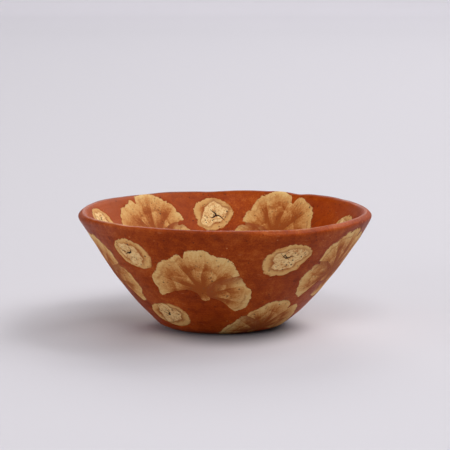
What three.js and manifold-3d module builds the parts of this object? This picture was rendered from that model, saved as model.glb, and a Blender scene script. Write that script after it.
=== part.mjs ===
// A small hand-built sake cup of inlaid clays, in millimetres, +Z up.
// The cup stands on the plane z = 0. The origin is below the middle of the upper wall, and the foot sits 1.4 mm to -X of it,
// because a cup pinched and shaped by hand leans a little. The wall is red clay, and slices of patterned clay, cut from
// a patterned block, are laid right through it: each slice is seen outside and inside. Firing made them all one wall.

import * as THREE from "three";
import { mergeVertices } from "three/addons/utils/BufferGeometryUtils.js";
import Module from "manifold-3d";

// ---------------------------------------------------------------- driving dimensions, mm
const FOOT_RADIUS = 14.4; // flat underside, below a small rounded step
// outside of the wall, from the foot's edge to where the lip starts: [height, radius]
const WALL = [
  [0, FOOT_RADIUS], [0.2, 14.62], [0.45, 15], [0.9, 16.15], [1.45, 17.2], [2.45, 18.52], [4.45, 20.82], [6.45, 22.92], [8.45, 24.75],
  [10.45, 26.45], [12.45, 28.05], [14.45, 29.6], [16.45, 31.04], [18.45, 32.4], [20.45, 33.75], [22.45, 35.08], [24.45, 36.38],
  [26.45, 37.62], [29.21, 39.28],
];
// thickness of the wall, along the wall from the foot's edge: [distance, thickness]
const THICKNESS = [[0, 3.7], [8, 3.6], [16, 3.3], [26, 3.0], [33, 2.85], [60, 2.8]];
// inside of the wall near the floor, which rounds off more gently than the foot does: [distance up the wall, radius, height]
const HOLLOW = [[0, 13.3, 3.55], [2.75, 14.95, 4.36], [4.75, 16.25, 5.2], [6.75, 17.45, 6.13]];
const FLOOR_THICKNESS = 2.45; // at the middle of the cup
// The lip: out to a rather crisp edge, then a sloping facet up and in to the crest, then softly down into the cup. [radius, height]
const LIP_POINTS = [[39.54, 29.75], [39.66, 30.2], [39.4, 30.65], [38.86, 31.21], [38.38, 31.52], [37.55, 31.27]];
const LIP_SLOPE = [0.511, 0.86]; // direction of the wall at the lip: [outwards, up]
const RIM_HEIGHT = 31.6; // height at which the crest's waves tell in full
const WAVE_START = 5; // height above which the crest's waves begin to tell
const LEAN = 0.85; // the wall's drift to -X from rim to foot
const FOOT_DRIFT = 0.6; // and a little more near the foot
const RIM_DRIFT = 0.24; // and the lip's drift the same way
const SEGMENTS = 48; // round the cup
const GAP = 0.3; // between a slice and the wall round it

// Leaf slices: two or three fan leaves from one stalk, each laid over the last.
// at: [degrees round the cup, distance up the wall] of the stalk, leaves: [turn in degrees, radius, shift across, shift up]
const LEAVES = [
  { name: "leaf_slice_front", at: [-102, 20.15], leaves: [[20, 13.5, 0, 0.5], [-50, 11.5, 1.0, -1.0]] },
  { name: "leaf_slice_right", at: [-27, 24.75], leaves: [[-18, 13.0, 0, 0], [58, 10.5, -1.0, -1.2], [-104, 9.0, 0.2, -1.0]] },
  { name: "leaf_slice_left", at: [-165, 22.25], leaves: [[20, 13.5, 0, 0], [-52, 11.0, 1.0, -1.2]] },
  { name: "leaf_slice_back_left", at: [129, 26.25], leaves: [[-18, 13.5, 0, 0], [56, 11.0, -1.0, -1.4], [-100, 9.0, 1.0, -1.6]] },
  { name: "leaf_slice_back_right", at: [63, 26.25], leaves: [[14, 13.5, 0, 0], [-62, 11.5, 1.0, -1.2], [92, 9.0, -1.0, -1.6]] },
  { name: "leaf_slice_low_front", at: [-56, 4.35], leaves: [[-34, 11.0, 0, 0], [38, 9.5, -0.8, -1.0]] },
  { name: "leaf_slice_low_back", at: [97, 5.15], leaves: [[28, 11.5, 0, 0], [-46, 9.5, 0.8, -1.0]] },
];
// Pebble slices: rounded, cut across a plain rolled core. r: half length and half width, turn: degrees
const PEBBLES = [
  { name: "pebble_slice_upper_front", at: [-63, 31.15], r: [6.9, 5.4], turn: 12 },
  { name: "pebble_slice_upper_left", at: [-133, 32.15], r: [6.0, 4.9], turn: -20 },
  { name: "pebble_slice_low_left", at: [-129, 9.95], r: [6.2, 5.0], turn: 14 },
  { name: "pebble_slice_upper_right", at: [16, 31.15], r: [6.2, 5.2], turn: 25 },
  { name: "pebble_slice_back", at: [96, 32.95], r: [6.2, 5.0], turn: -12 },
  { name: "pebble_slice_upper_back_left", at: [165, 33.95], r: [6.0, 4.8], turn: 18 },
  { name: "pebble_slice_low_back_left", at: [153, 10.75], r: [6.0, 4.8], turn: -15 },
  { name: "pebble_slice_low_right", at: [14, 11.75], r: [6.2, 4.8], turn: 10 },
];

// ---------------------------------------------------------------- small maths
// Smooth curve through points with rising x, with no overshoot.
function smooth(points) {
  const x = points.map((p) => p[0]), y = points.map((p) => p[1]), n = x.length;
  const h = [], d = [], m = new Array(n);
  for (let i = 0; i < n - 1; i++) {
    h.push(x[i + 1] - x[i]);
    d.push((y[i + 1] - y[i]) / h[i]);
  }
  for (let i = 1; i < n - 1; i++) {
    if (d[i - 1] * d[i] <= 0) m[i] = 0;
    else {
      const a = 2 * h[i] + h[i - 1], b = h[i] + 2 * h[i - 1];
      m[i] = (a + b) / (a / d[i - 1] + b / d[i]);
    }
  }
  m[0] = d[0];
  m[n - 1] = d[n - 2];
  return (v) => {
    if (v <= x[0]) return y[0];
    if (v >= x[n - 1]) return y[n - 1];
    let i = 0;
    while (v > x[i + 1]) i++;
    const t = (v - x[i]) / h[i], t2 = t * t, t3 = t2 * t;
    return (2 * t3 - 3 * t2 + 1) * y[i] + (t3 - 2 * t2 + t) * h[i] * m[i] + (3 * t2 - 2 * t3) * y[i + 1] + (t3 - t2) * h[i] * m[i + 1];
  };
}
const rad = THREE.MathUtils.degToRad;
const bump = (deg, at, width) => {
  const a = ((((deg - at + 180) % 360) + 360) % 360) - 180;
  return Math.exp(-((a / width) ** 2));
};

// ---------------------------------------------------------------- the wall
const radiusAt = smooth(WALL);
const TOP = WALL[WALL.length - 1];
const walk = [[0, 0]]; // [distance up the wall, height]
{
  const steps = 600;
  let r = radiusAt(0);
  for (let i = 1; i <= steps; i++) {
    const z = (TOP[0] * i) / steps, q = radiusAt(z), last = walk[walk.length - 1];
    walk.push([last[0] + Math.hypot(q - r, z - last[1]), z]);
    r = q;
  }
}
const WALL_LENGTH = walk[walk.length - 1][0];
function heightAt(s) {
  let a = 0, b = walk.length - 1;
  while (b - a > 1) {
    const c = (a + b) >> 1;
    if (walk[c][0] > s) b = c;
    else a = c;
  }
  return walk[a][1] + ((walk[b][1] - walk[a][1]) * (s - walk[a][0])) / (walk[b][0] - walk[a][0]);
}
const outside = (s) => {
  const z = heightAt(Math.min(Math.max(s, 0), WALL_LENGTH));
  return [radiusAt(z), z];
};
const slopeLength = Math.hypot(...LIP_SLOPE);
const lip = LIP_SLOPE.map((v) => v / slopeLength);
// Direction up the wall, taken over 3 mm so that the foot's edge doesn't kink it.
function upAt(s) {
  const a = outside(s - 1.5), b = outside(s + 1.5);
  let t = [b[0] - a[0], b[1] - a[1]];
  const l = Math.hypot(...t);
  t = [t[0] / l, t[1] / l];
  const k = Math.min(Math.max((s - (WALL_LENGTH - 6)) / 6, 0), 1);
  t = [t[0] + (lip[0] - t[0]) * k, t[1] + (lip[1] - t[1]) * k];
  const m = Math.hypot(...t);
  return [t[0] / m, t[1] / m];
}
const thicknessAt = smooth(THICKNESS);
// The wall's inside: square to its outside, and as HOLLOW says near the floor.
const inner = (() => {
  const knots = [...HOLLOW];
  for (const s of [8, 11, 14, 18, 22, 26, 30, 34, WALL_LENGTH]) {
    const o = outside(s), t = upAt(s), h = thicknessAt(s);
    knots.push([s, o[0] - t[1] * h, o[1] + t[0] * h]);
  }
  const r = smooth(knots.map((k) => [k[0], k[1]])), z = smooth(knots.map((k) => [k[0], k[2]]));
  return (s) => [r(s), z(s)];
})();
// The wall's middle and half thickness at a distance up it: [radius, height] pairs. Past the wall's end both run on
// straight, so that an outline can be carried beyond the lip.
function layer(s) {
  const c = Math.min(s, WALL_LENGTH), o = outside(c), i = inner(c), over = s - c;
  return {
    middle: [(o[0] + i[0]) / 2 + lip[0] * over, (o[1] + i[1]) / 2 + lip[1] * over],
    half: [(o[0] - i[0]) / 2, (o[1] - i[1]) / 2],
  };
}
// Lean, and the crest's waves: a height and an angle give how far a point moves.
const leanAt = (z) =>
  -LEAN * Math.min(Math.max(1 - z / 26, 0), 1) - FOOT_DRIFT * Math.exp(-Math.max(z, 0) / 2.5) -
  RIM_DRIFT * Math.min(Math.max((z - 14) / 16, 0), 1) ** 4;
const waveAt = (deg) =>
  0.1 + 0.36 * Math.sin(rad(deg)) - 0.5 * bump(deg, -60, 17) - 0.3 * bump(deg, 197, 14) + 0.18 * bump(deg, 79, 10) +
  0.15 * bump(deg, 121, 12) - 0.12 * bump(deg, 101, 9) + 0.12 * bump(deg, 50, 12) + 0.12 * bump(deg, 145, 12) - 0.15 * bump(deg, 20, 14) +
  0.3 * bump(deg, 66, 5);
function place(angle, r, z, out) {
  const k = Math.max(z - WAVE_START, 0) / (RIM_HEIGHT - WAVE_START);
  return out.set(r * Math.cos(angle) + leanAt(z), r * Math.sin(angle), z + waveAt(THREE.MathUtils.radToDeg(angle)) * k * k * k);
}

// ---------------------------------------------------------------- the whole cup as one turned solid
function cupGeometry() {
  const p = [];
  const foot = outside(0);
  p.push([0, 0], [foot[0], 0]);
  const rows = [1, 2.6, 5.5, 9.5, 15, 22, 30, WALL_LENGTH];
  for (const s of rows) p.push(outside(s));
  p.push(...LIP_POINTS);
  for (const s of [WALL_LENGTH, 30, 22, 15, 9.5, 5.5, 2.6, 0]) p.push(inner(s));
  const [cr, cz] = inner(0);
  for (const k of [0.82, 0.58]) p.push([cr * k, FLOOR_THICKNESS + (cz - FLOOR_THICKNESS) * k ** 5]);
  p.push([0, FLOOR_THICKNESS]);
  const g = new THREE.LatheGeometry(p.map(([r, z]) => new THREE.Vector2(r, z)), SEGMENTS);
  const a = g.getAttribute("position"), v = new THREE.Vector3();
  for (let i = 0; i < a.count; i++) {
    const r = Math.hypot(a.getX(i), a.getZ(i)), angle = Math.atan2(-a.getZ(i), a.getX(i));
    place(angle, r, a.getY(i), v);
    a.setXYZ(i, v.x, v.y, v.z);
  }
  return g;
}

// ---------------------------------------------------------------- outlines of the slices, flat
// A fan leaf with its stalk end at the origin and its fan upwards. Two lobes, a notch between them, a wavy edge.
// Only the back leaf has a stalk, and the leaves over it end in a rounded point.
function leafOutline(size, seed, stalk) {
  const pts = [], A = rad(82), n = 15, w = 0.085 * size;
  const base = stalk ? [[w * 1.1, -0.3 * size], [w * 0.95, -0.1 * size]] : [[w * 0.7, -0.11 * size]];
  base.push([w * 1.6, 0.03 * size], [0.28 * size, 0.115 * size], [0.55 * size, 0.135 * size]);
  // right side of the base, then out along the leaf's lower edge
  pts.push(...base);
  for (let i = 0; i <= n; i++) {
    const a = A - (2 * A * i) / n, x = Math.abs(a) / A;
    const notch = 0.26 * Math.exp(-(((a - 0.05 * Math.sin(seed)) / 0.075) ** 2)) + 0.05 * Math.exp(-((a / 0.3) ** 2));
    const waves = 1 + 0.022 * Math.sin(6.1 * a + seed) + 0.02 * Math.sin(13 * a + 2.1 * seed);
    const r = size * (1 - 0.13 * x ** 6) * (1 - notch) * waves * (1 + 0.1 * Math.cos(a) ** 2);
    pts.push([r * Math.sin(a), r * Math.cos(a) - 0.02 * size]);
  }
  pts.push(...base.reverse().map(([x, y]) => [-x, y]));
  return pts;
}
function pebbleOutline([a, b], seed) {
  const pts = [], n = 16;
  for (let i = 0; i < n; i++) {
    const t = (2 * Math.PI * i) / n;
    const k = 1 + 0.05 * Math.sin(2 * t + seed) + 0.035 * Math.sin(3 * t + 2 * seed) + 0.02 * Math.sin(5 * t + 3 * seed);
    pts.push([a * k * Math.cos(t), b * k * Math.sin(t)]);
  }
  return pts;
}
// Moves each edge of an outline outwards.
function grow(pts, by) {
  const n = pts.length;
  let area = 0;
  for (let i = 0; i < n; i++) {
    const [x, y] = pts[i], [u, v] = pts[(i + 1) % n];
    area += x * v - u * y;
  }
  const side = Math.sign(area);
  return pts.map(([x, y], i) => {
    const [px, py] = pts[(i + n - 1) % n], [nx, ny] = pts[(i + 1) % n];
    const a = new THREE.Vector2(y - py, px - x).normalize(), b = new THREE.Vector2(ny - y, x - nx).normalize();
    const m = a.clone().add(b), k = Math.min(1 / Math.max(m.lengthSq() / 2, 0.35), 2);
    return [x + side * m.x * by * k, y + side * m.y * by * k];
  });
}
function turned(pts, deg, scale = 1, dx = 0, dy = 0) {
  const c = Math.cos(rad(deg)) * scale, s = Math.sin(rad(deg)) * scale;
  return pts.map(([x, y]) => [c * x - s * y + dx, s * x + c * y + dy]);
}

// A flat outline, drawn at a place on the wall, as a solid that runs right through the wall and past both its faces.
function through(pts, at) {
  const shape = new THREE.Shape(pts.map(([x, y]) => new THREE.Vector2(x, y)));
  const g = new THREE.ExtrudeGeometry(shape, { depth: 1, bevelEnabled: false, curveSegments: 1 });
  const a = g.getAttribute("position"), v = new THREE.Vector3();
  const level = [-3.2, 4.6]; // in half thicknesses from the middle of the wall
  for (let i = 0; i < a.count; i++) {
    const s = at[1] + a.getY(i), l = layer(Math.max(s, 0)), w = level[Math.round(a.getZ(i))];
    const angle = rad(at[0]) + a.getX(i) / outside(Math.max(s, 2))[0];
    place(angle, l.middle[0] + l.half[0] * w, l.middle[1] + l.half[1] * w, v);
    a.setXYZ(i, v.x, v.y, v.z);
  }
  return g;
}

// ---------------------------------------------------------------- solids
const wasm = await Module();
wasm.setup();
function solid(geometry) {
  const g = geometry.index ? geometry.clone() : geometry;
  g.deleteAttribute("normal");
  g.deleteAttribute("uv");
  const m = mergeVertices(g, 1e-4);
  const index = [];
  const src = m.index.array;
  for (let i = 0; i < src.length; i += 3) {
    const [a, b, c] = [src[i], src[i + 1], src[i + 2]];
    if (a !== b && b !== c && c !== a) index.push(a, b, c);
  }
  const make = (tri) => new wasm.Manifold(new wasm.Mesh({ numProp: 3, vertProperties: m.attributes.position.array, triVerts: new Uint32Array(tri) }));
  let s = make(index);
  if (s.volume() < 0) {
    for (let i = 0; i < index.length; i += 3) [index[i + 1], index[i + 2]] = [index[i + 2], index[i + 1]];
    s = make(index);
  }
  return s;
}
function mesh(name, body, material) {
  const m = body.getMesh(), n = m.numProp, v = new Float32Array(m.numVert * 3);
  for (let i = 0; i < m.numVert; i++) v.set(m.vertProperties.subarray(i * n, i * n + 3), i * 3);
  const g = new THREE.BufferGeometry().setAttribute("position", new THREE.BufferAttribute(v, 3));
  g.setIndex(new THREE.BufferAttribute(new Uint32Array(m.triVerts), 1));
  g.computeVertexNormals();
  const out = new THREE.Mesh(g, material);
  out.name = name;
  return out;
}

const red = new THREE.MeshStandardMaterial({ color: 0x8a3f22, roughness: 0.6, metalness: 0 });
const cream = new THREE.MeshStandardMaterial({ color: 0xc9a26a, roughness: 0.62, metalness: 0 });
const core = new THREE.MeshStandardMaterial({ color: 0xd2b27c, roughness: 0.66, metalness: 0 });

const cup = solid(cupGeometry());
const group = new THREE.Group();
const slices = [];
LEAVES.forEach((l, i) => {
  const outlines = l.leaves.map(([turn, size, dx, dy], k) => turned(leafOutline(size, 0.7 + i + 2.3 * k, k === 0), turn, 1, dx, dy));
  slices.push({ name: l.name, at: l.at, outlines, material: cream });
});
PEBBLES.forEach((p, i) => {
  slices.push({ name: p.name, at: p.at, outlines: [turned(pebbleOutline(p.r, 0.4 + 1.3 * i), p.turn)], material: core });
});
let body = cup;
for (const s of slices) {
  const cut = (by) => s.outlines.map((o) => solid(through(grow(o, by), s.at))).reduce((a, b) => a.add(b));
  group.add(mesh(s.name, cup.intersect(cut(-GAP / 2)), s.material));
  body = body.subtract(cut(GAP / 2));
}
group.add(mesh("red_clay_body", body, red));

export default group;
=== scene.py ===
import math

import bpy
import numpy as np
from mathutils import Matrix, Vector
from mathutils.geometry import delaunay_2d_cdt
from mathutils.kdtree import KDTree


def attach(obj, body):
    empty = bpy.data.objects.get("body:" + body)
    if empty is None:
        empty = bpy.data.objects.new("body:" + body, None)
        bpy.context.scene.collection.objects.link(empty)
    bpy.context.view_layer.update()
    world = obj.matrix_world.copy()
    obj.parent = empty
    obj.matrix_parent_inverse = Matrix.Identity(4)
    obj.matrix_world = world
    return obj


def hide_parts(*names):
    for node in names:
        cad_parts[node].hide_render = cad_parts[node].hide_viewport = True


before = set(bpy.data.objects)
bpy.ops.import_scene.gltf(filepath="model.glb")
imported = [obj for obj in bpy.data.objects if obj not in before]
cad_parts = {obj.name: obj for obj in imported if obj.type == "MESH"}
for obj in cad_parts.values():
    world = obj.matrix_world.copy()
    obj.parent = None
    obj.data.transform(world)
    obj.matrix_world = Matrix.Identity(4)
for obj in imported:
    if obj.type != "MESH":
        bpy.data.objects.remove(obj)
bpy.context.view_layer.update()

MM = 0.001

# ---------------------------------------------------------------- the cup's shape, as in the CAD source, mm
FOOT_RADIUS = 14.4
WALL = [
    (0, FOOT_RADIUS), (0.2, 14.62), (0.45, 15), (0.9, 16.15), (1.45, 17.2), (2.45, 18.52), (4.45, 20.82), (6.45, 22.92), (8.45, 24.75),
    (10.45, 26.45), (12.45, 28.05), (14.45, 29.6), (16.45, 31.04), (18.45, 32.4), (20.45, 33.75), (22.45, 35.08), (24.45, 36.38),
    (26.45, 37.62), (29.21, 39.28),
]
THICKNESS = [(0, 3.7), (8, 3.6), (16, 3.3), (26, 3.0), (33, 2.85), (60, 2.8)]
HOLLOW = [(0, 13.3, 3.55), (2.75, 14.95, 4.36), (4.75, 16.25, 5.2), (6.75, 17.45, 6.13)]
FLOOR_THICKNESS = 2.45
LIP_ROUND = 1.7  # the lip's share of the way up
LIP = np.array([0.511, 0.86]) / math.hypot(0.511, 0.86)
# from the wall's end (0) to the crest (1): share, radius, height. Outside it was pressed to a soft facet at the right,
# and is plainly round at the left of the front.
LIP_OUTSIDE = [
    (0, 39.28, 29.21), (0.14, 39.43, 29.54), (0.27, 39.545, 29.84), (0.38, 39.60, 30.10), (0.48, 39.575, 30.34), (0.58, 39.45, 30.56),
    (0.70, 39.18, 30.85), (0.82, 38.88, 31.14), (0.92, 38.62, 31.37), (1, 38.38, 31.48),
]
PLAIN_IN = 0.5  # the wall is this much thinner below the plain part of the lip
LIP_PLAIN = [
    (0, 39.28 - PLAIN_IN, 29.21), (0.20, 38.99, 29.62), (0.42, 39.24, 30.13), (0.60, 39.44, 30.60), (0.70, 39.51, 30.86), (0.78, 39.47, 31.06),
    (0.86, 39.25, 31.27), (0.93, 38.90, 31.42), (1, 38.38, 31.48),
]
LIP_INSIDE = [(0, 36.873, 30.64), (0.3, 37.18, 30.995), (0.6, 37.60, 31.295), (0.85, 38.03, 31.45), (1, 38.38, 31.48)]
RIM_HEIGHT = 31.6
WAVE_START = 5.0
LEAN = 0.85
FOOT_DRIFT = 0.6
RIM_DRIFT = 0.24

# Leaf slices: [degrees round, distance up the wall] of the stalk, then per leaf [turn, radius, shift across, shift up].
LEAVES = [
    ("leaf_slice_front", (-102, 20.15), [(20, 13.5, 0, 0.5), (-50, 11.5, 1.0, -1.0)]),
    ("leaf_slice_right", (-27, 24.75), [(-18, 13.0, 0, 0), (58, 10.5, -1.0, -1.2), (-104, 9.0, 0.2, -1.0)]),
    ("leaf_slice_left", (-165, 22.25), [(20, 13.5, 0, 0), (-52, 11.0, 1.0, -1.2)]),
    ("leaf_slice_back_left", (129, 26.25), [(-18, 13.5, 0, 0), (56, 11.0, -1.0, -1.4), (-100, 9.0, 1.0, -1.6)]),
    ("leaf_slice_back_right", (63, 26.25), [(14, 13.5, 0, 0), (-62, 11.5, 1.0, -1.2), (92, 9.0, -1.0, -1.6)]),
    ("leaf_slice_low_front", (-56, 4.35), [(-34, 11.0, 0, 0), (38, 9.5, -0.8, -1.0)]),
    ("leaf_slice_low_back", (97, 5.15), [(28, 11.5, 0, 0), (-46, 9.5, 0.8, -1.0)]),
]
# Pebble slices: place, half length and half width, turn.
PEBBLES = [
    ("pebble_slice_upper_front", (-63, 31.15), (6.9, 5.4), 12),
    ("pebble_slice_upper_left", (-133, 32.15), (6.0, 4.9), -20),
    ("pebble_slice_low_left", (-129, 9.95), (6.2, 5.0), 14),
    ("pebble_slice_upper_right", (16, 31.15), (6.2, 5.2), 25),
    ("pebble_slice_back", (96, 32.95), (6.2, 5.0), -12),
    ("pebble_slice_upper_back_left", (165, 33.95), (6.0, 4.8), 18),
    ("pebble_slice_low_back_left", (153, 10.75), (6.0, 4.8), -15),
    ("pebble_slice_low_right", (14, 11.75), (6.2, 4.8), 10),
]


def smooth(points):
    """Smooth curve through points with rising x, with no overshoot."""
    x = np.array([p[0] for p in points], float)
    y = np.array([p[1] for p in points], float)
    n, h = len(x), np.diff(x)
    d, m = np.diff(y) / h, np.zeros(n)
    for i in range(1, n - 1):
        if d[i - 1] * d[i] > 0:
            a, b = 2 * h[i] + h[i - 1], h[i] + 2 * h[i - 1]
            m[i] = (a + b) / (a / d[i - 1] + b / d[i])
    m[0], m[-1] = d[0], d[-1]

    def at(v):
        v = np.clip(np.asarray(v, float), x[0], x[-1])
        i = np.clip(np.searchsorted(x, v, side="right") - 1, 0, n - 2)
        t = (v - x[i]) / h[i]
        t2, t3 = t * t, t * t * t
        return (
            (2 * t3 - 3 * t2 + 1) * y[i] + (t3 - 2 * t2 + t) * h[i] * m[i]
            + (3 * t2 - 2 * t3) * y[i + 1] + (t3 - t2) * h[i] * m[i + 1]
        )

    return at


radius_at = smooth(WALL)
_z = np.linspace(0, WALL[-1][0], 601)
_s = np.concatenate([[0], np.cumsum(np.hypot(np.diff(radius_at(_z)), np.diff(_z)))])
WALL_LENGTH = float(_s[-1])
END = WALL_LENGTH + LIP_ROUND
thickness_at = smooth(THICKNESS)


def outside(s):
    z = np.interp(np.clip(s, 0, WALL_LENGTH), _s, _z)
    return radius_at(z), z


def up_at(s):
    a, b = outside(s - 1.5), outside(s + 1.5)
    t = np.array([b[0] - a[0], b[1] - a[1]])
    t = t / np.linalg.norm(t)
    t = t + (LIP - t) * np.clip((s - (WALL_LENGTH - 6)) / 6, 0, 1)
    return t / np.linalg.norm(t)


_knots = list(HOLLOW)
for _q in (8, 11, 14, 18, 22, 26, 30, 34, WALL_LENGTH):
    _o, _t, _h = outside(_q), up_at(_q), float(thickness_at(_q))
    _knots.append((_q, float(_o[0] - _t[1] * _h), float(_o[1] + _t[0] * _h)))
inner_r = smooth([(k[0], k[1]) for k in _knots])
inner_z = smooth([(k[0], k[2]) for k in _knots])


def bump_at(deg, at, width):
    return np.exp(-((((deg - at + 180) % 360 - 180) / width) ** 2))


def lean_at(z):
    drift = -LEAN * np.clip(1 - z / 26, 0, 1) - FOOT_DRIFT * np.exp(-np.maximum(z, 0) / 2.5)
    return drift - RIM_DRIFT * np.clip((z - 14) / 16, 0, 1) ** 4


def wave_at(deg):
    return (
        0.1 + 0.36 * np.sin(np.radians(deg)) - 0.5 * bump_at(deg, -60, 17) - 0.3 * bump_at(deg, 197, 14)
        + 0.18 * bump_at(deg, 79, 10) + 0.15 * bump_at(deg, 121, 12) - 0.12 * bump_at(deg, 101, 9)
        + 0.12 * bump_at(deg, 50, 12) + 0.12 * bump_at(deg, 145, 12) - 0.15 * bump_at(deg, 20, 14) + 0.3 * bump_at(deg, 66, 5)
        # finer dips, narrower than the source's facets
        - 0.26 * bump_at(deg, 56.5, 2.8) - 0.13 * bump_at(deg, 96, 4) - 0.15 * bump_at(deg, 125, 6) - 0.10 * bump_at(deg, 31, 3)
        + 0.24 * bump_at(deg, 34, 16) + 0.11 * bump_at(deg, 157, 10)
        - 0.09 * bump_at(deg, -96, 5) - 0.11 * bump_at(deg, -131, 4) - 0.08 * bump_at(deg, -38, 4) - 0.08 * bump_at(deg, 172, 3)
    )


def place(ang, r, z):
    k = np.maximum(z - WAVE_START, 0) / (RIM_HEIGHT - WAVE_START)
    return np.stack([r * np.cos(ang) + lean_at(z), r * np.sin(ang), z + wave_at(np.degrees(ang)) * k**3], -1)


# ---------------------------------------------------------------- a seeded lattice noise, about -1 to 1
class Lattice:
    def __init__(self, seed):
        rng = np.random.default_rng(seed)
        self.p = np.tile(rng.permutation(256), 3)
        g = rng.normal(size=(256, 3))
        self.g = g / np.linalg.norm(g, axis=1)[:, None]

    def __call__(self, q):
        q = np.asarray(q, float)
        i = np.floor(q).astype(int)
        f = q - i
        w = f * f * f * (f * (f * 6 - 15) + 10)
        total = 0
        for c in range(8):
            o = np.array([c & 1, c >> 1 & 1, c >> 2 & 1])
            a = (i + o) & 255
            h = self.p[self.p[self.p[a[:, 0]] + a[:, 1]] + a[:, 2]]
            total = total + np.prod(np.where(o, w, 1 - w), axis=1) * np.sum(self.g[h] * (f - o), axis=1)
        return total * 1.6


# ---------------------------------------------------------------- the flat plan that the whole cup is cut from
# A point of the plan is (rho cos a, rho sin a): a is the angle round the cup, and rho - HUB the way up its wall. Inside
# HUB lies the foot below and the floor above. The lip takes LIP_PLAN of the way.
HUB = 16.0
LIP_PLAN = 2.4
T_END = WALL_LENGTH + LIP_PLAN


def t_of_s(s):
    over = np.clip((s - WALL_LENGTH) / LIP_ROUND, 0, 1)
    return np.where(s <= WALL_LENGTH, s, np.where(s < END, WALL_LENGTH + LIP_PLAN * over, T_END + s - END))


def s_of_t(t):
    return np.where(t <= WALL_LENGTH, t, WALL_LENGTH + LIP_ROUND * np.clip((t - WALL_LENGTH) / LIP_PLAN, 0, 1))


def to_plan(ang, s):
    rho = HUB + t_of_s(s)
    return np.stack([rho * np.cos(ang), rho * np.sin(ang)], -1)


def to_wall(p, at):
    """Points of a slice's own flat drawing, laid on the wall: angle and way up."""
    s = at[1] + p[:, 1]
    return math.radians(at[0]) + p[:, 0] / outside(np.maximum(s, 2))[0], s


def from_wall(ang, s, at):
    x = (ang - math.radians(at[0]) + math.pi) % (2 * math.pi) - math.pi
    return np.stack([x * outside(np.maximum(s, 2))[0], s - at[1]], -1)


def turned(p, deg, dx=0.0, dy=0.0):
    c, s = math.cos(math.radians(deg)), math.sin(math.radians(deg))
    return np.stack([c * p[:, 0] - s * p[:, 1] + dx, s * p[:, 0] + c * p[:, 1] + dy], -1)


def turned_back(p, deg, dx=0.0, dy=0.0):
    c, s = math.cos(math.radians(deg)), math.sin(math.radians(deg))
    x, y = p[:, 0] - dx, p[:, 1] - dy
    return np.stack([c * x + s * y, -s * x + c * y], -1)


def leaf_line(size, seed, stalk, n=150, half=math.radians(82)):
    """A fan leaf on its stalk: the stalk runs to -Y, and the margin is an arc round it with a notch at the middle."""
    w = 0.085 * size
    base = [(w * 1.1, -0.3 * size), (w * 0.95, -0.1 * size)] if stalk else [(w * 0.7, -0.11 * size)]
    base += [(w * 1.6, 0.03 * size), (0.28 * size, 0.115 * size), (0.55 * size, 0.135 * size)]
    a = half - 2 * half * np.arange(n + 1) / n
    x = np.abs(a) / half
    notch = 0.17 * np.exp(-(((a - 0.05 * math.sin(seed)) / 0.06) ** 2)) + 0.05 * np.exp(-((a / 0.3) ** 2))
    waves = 1 + 0.022 * np.sin(6.1 * a + seed) + 0.02 * np.sin(13 * a + 2.1 * seed)
    r = size * (1 - 0.13 * x**6) * (1 - notch) * waves * (1 + 0.1 * np.cos(a) ** 2)
    margin = np.stack([r * np.sin(a), r * np.cos(a) - 0.02 * size], -1)
    return np.vstack([np.array(base), margin, np.array([(-x, y) for x, y in base[::-1]])])


def pebble_line(r, seed, n=160):
    t = 2 * np.pi * np.arange(n) / n
    k = 1 + 0.05 * np.sin(2 * t + seed) + 0.035 * np.sin(3 * t + 2 * seed) + 0.02 * np.sin(5 * t + 3 * seed)
    return np.stack([r[0] * k * np.cos(t), r[1] * k * np.sin(t)], -1)


def evenly(p, step):
    """A closed line again, with points at even steps."""
    q = np.vstack([p, p[:1]])
    c = np.concatenate([[0], np.cumsum(np.hypot(*np.diff(q, axis=0).T))])
    n = max(8, int(round(c[-1] / step)))
    t = np.arange(n) * c[-1] / n
    return np.stack([np.interp(t, c, q[:, 0]), np.interp(t, c, q[:, 1])], -1)


def rounded(p, times=1):
    for _ in range(times):
        a, b = p, np.roll(p, -1, 0)
        p = np.stack([0.75 * a + 0.25 * b, 0.25 * a + 0.75 * b], 1).reshape(-1, 2)
    return p


def line_normals(p):
    d = np.roll(p, -1, 0) - np.roll(p, 1, 0)
    n = np.stack([d[:, 1], -d[:, 0]], -1)
    return n / np.maximum(np.linalg.norm(n, axis=1, keepdims=True), 1e-9)


edge_noise = Lattice(5)


def frayed(p, seed, amount=1.0):
    """The knife and the press leave a slice's edge a little ragged."""
    q = np.column_stack([p, np.full(len(p), seed * 3.7)])
    k = 0.22 * edge_noise(q / 2.1) + 0.15 * edge_noise(q / 0.8 + 9) - 0.30 * np.clip(edge_noise(q / 1.3 + 31) - 0.45, 0, 1)
    return p + line_normals(p) * (k * amount)[:, None]


OUTLINE_STEP = 0.25
slices = []  # per slice: node name, kind, place, and its shapes: own outline, seed, and the turn that lays it
for i, (name, at, leaves) in enumerate(LEAVES):
    shapes = []
    for k, (turn, size, dx, dy) in enumerate(leaves):
        seed = 0.7 + i + 2.3 * k
        own = frayed(evenly(rounded(leaf_line(size, seed, k == 0)), OUTLINE_STEP), seed)
        shapes.append({"own": own, "seed": seed, "turn": (turn, dx, dy), "size": size})
    slices.append({"name": name, "kind": "leaf", "at": at, "shapes": shapes})
for i, (name, at, r, turn) in enumerate(PEBBLES):
    seed = 0.4 + 1.3 * i
    own = frayed(evenly(pebble_line(r, seed), OUTLINE_STEP), seed + 20, 1.5)
    slices.append({"name": name, "kind": "pebble", "at": at, "shapes": [{"own": own, "seed": seed, "turn": (turn, 0.0, 0.0), "size": r[0], "r": r}]})


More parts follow.
